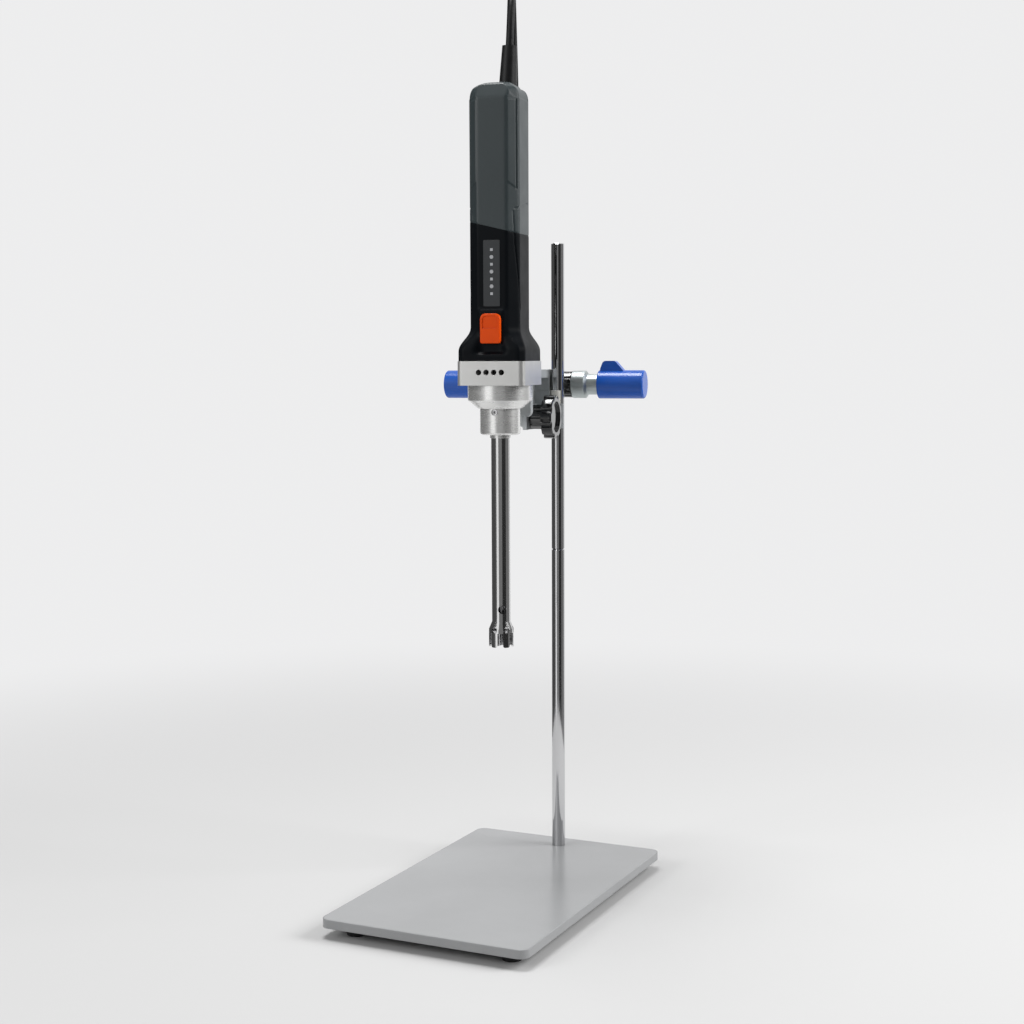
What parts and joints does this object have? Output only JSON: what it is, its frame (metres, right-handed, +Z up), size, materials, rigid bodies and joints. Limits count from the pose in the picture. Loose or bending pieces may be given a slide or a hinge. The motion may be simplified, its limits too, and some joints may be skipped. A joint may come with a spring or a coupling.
{
  "type": "high-shear homogenizer",
  "caption": "Hand-held high-shear homogenizer on a column stand: a motor with a dispersing tube, clamped to a chromed column on a flat plate.",
  "frame": {"origin": "on the bench, straight below the dispersing tube's axis, at the middle of the plate", "axes": "+Z up along the tube and column, -Y out of the motor's front with its slide button, +X to the right of that front"},
  "size_m": [0.245, 0.3447, 0.8479],
  "materials": {
    "plate_paint": "smooth grey powder coat",
    "foot_rubber": "matt",
    "column_chrome": "polished bar",
    "tube_steel": "polished stainless",
    "steel": "turned",
    "adapter_aluminium": "fine satin blast",
    "casting_grey": "cast, lightly textured",
    "ferrule_metal": "turned satin",
    "knob_black": "glossy",
    "grip_blue": "semi-gloss",
    "housing_black": "fine texture",
    "housing_slate": "fine texture",
    "label_grey": "smooth",
    "button_orange": "semi-gloss",
    "nylon": "smooth",
    "seal_rubber": "smooth",
    "copper": "enamelled wire",
    "lamination": "stacked sheets",
    "board_green": "lacquered",
    "inner_black": "moulded",
    "cord_black": "smooth jacket",
    "pin_brass": "nickel plated"
  },
  "bodies": {
    "stand": {"base_plate": "plate_paint", "feet": "foot_rubber", "foot_screws": "steel", "column_lower": "column_chrome", "column_upper": "column_chrome", "joint_stud": "steel", "column_washer": "steel", "column_screw": "steel"},
    "liner": {"column_liner": "nylon"},
    "knob": {"star_knob": "knob_black", "clamp_stud": "steel"},
    "nut_left": {"lock_nut_left": "knob_black"},
    "nut_right": {"lock_nut_right": "knob_black"},
    "spindle": {"motor_shaft": "steel", "cooling_fan": "inner_black", "armature": "lamination", "coupling": "steel", "drive_shaft": "steel", "rotor_blade": "steel"},
    "button": {"slide_button": "button_orange"},
    "head": {"carriage_casting": "casting_grey", "clamp_jaw": "casting_grey", "bracket_screws": "steel", "cross_bar": "steel", "handle_ferrule_left": "ferrule_metal", "grip_left": "grip_blue", "handle_ferrule_right": "ferrule_metal", "grip_right": "grip_blue", "adapter_flange": "adapter_aluminium", "adapter_screws": "steel", "adapter_body": "adapter_aluminium", "set_screw": "steel", "tube_collar": "adapter_aluminium", "outer_tube": "tube_steel", "stator_head": "tube_steel", "bush_lower": "nylon", "bush_upper": "nylon", "shaft_seal": "seal_rubber", "bearing_lower": "steel", "bearing_upper": "steel", "stator_core": "lamination", "stator_coils": "copper", "housing_lower": "housing_black", "housing_upper": "housing_slate", "housing_screws": "steel", "label_panel": "label_grey", "switch_body": "inner_black", "control_board": "board_green", "cord_boot": "cord_black", "cord_lead": "cord_black", "cord_hank": "cord_black", "cord_tie": "inner_black", "plug_body": "inner_black", "plug_pins": "pin_brass"}
  },
  "joints": [
    {"name": "head_height", "type": "slide", "parent": "stand", "child": "liner", "axis": [0, 0, 1], "range_m": [-0.205, 0.115]},
    {"name": "head_swing", "type": "hinge", "parent": "liner", "child": "head", "pos_m": [0.019, 0.135, 0.45], "axis": [0, 0, 1], "range_deg": [-45, 45]},
    {"name": "clamp_knob_turn", "type": "hinge", "parent": "head", "child": "knob", "pos_m": [0.01, 0.102, 0.45], "axis": [1, 0, 0], "range_deg": [0, 360]},
    {"name": "lock_nut_left_turn", "type": "hinge", "parent": "head", "child": "nut_left", "pos_m": [-0.023, 0.156, 0.4804], "axis": [1, 0, 0], "range_deg": [0, 360]},
    {"name": "lock_nut_right_turn", "type": "hinge", "parent": "head", "child": "nut_right", "pos_m": [0.02, 0.156, 0.4804], "axis": [1, 0, 0], "range_deg": [0, 360]},
    {"name": "spindle_spin", "type": "hinge", "parent": "head", "child": "spindle", "pos_m": [0, 0, 0.4], "axis": [0, 0, 1], "continuous": true},
    {"name": "switch_slide", "type": "slide", "parent": "head", "child": "button", "axis": [0, 0, -1], "range_m": [0, 0.006]}
  ]
}
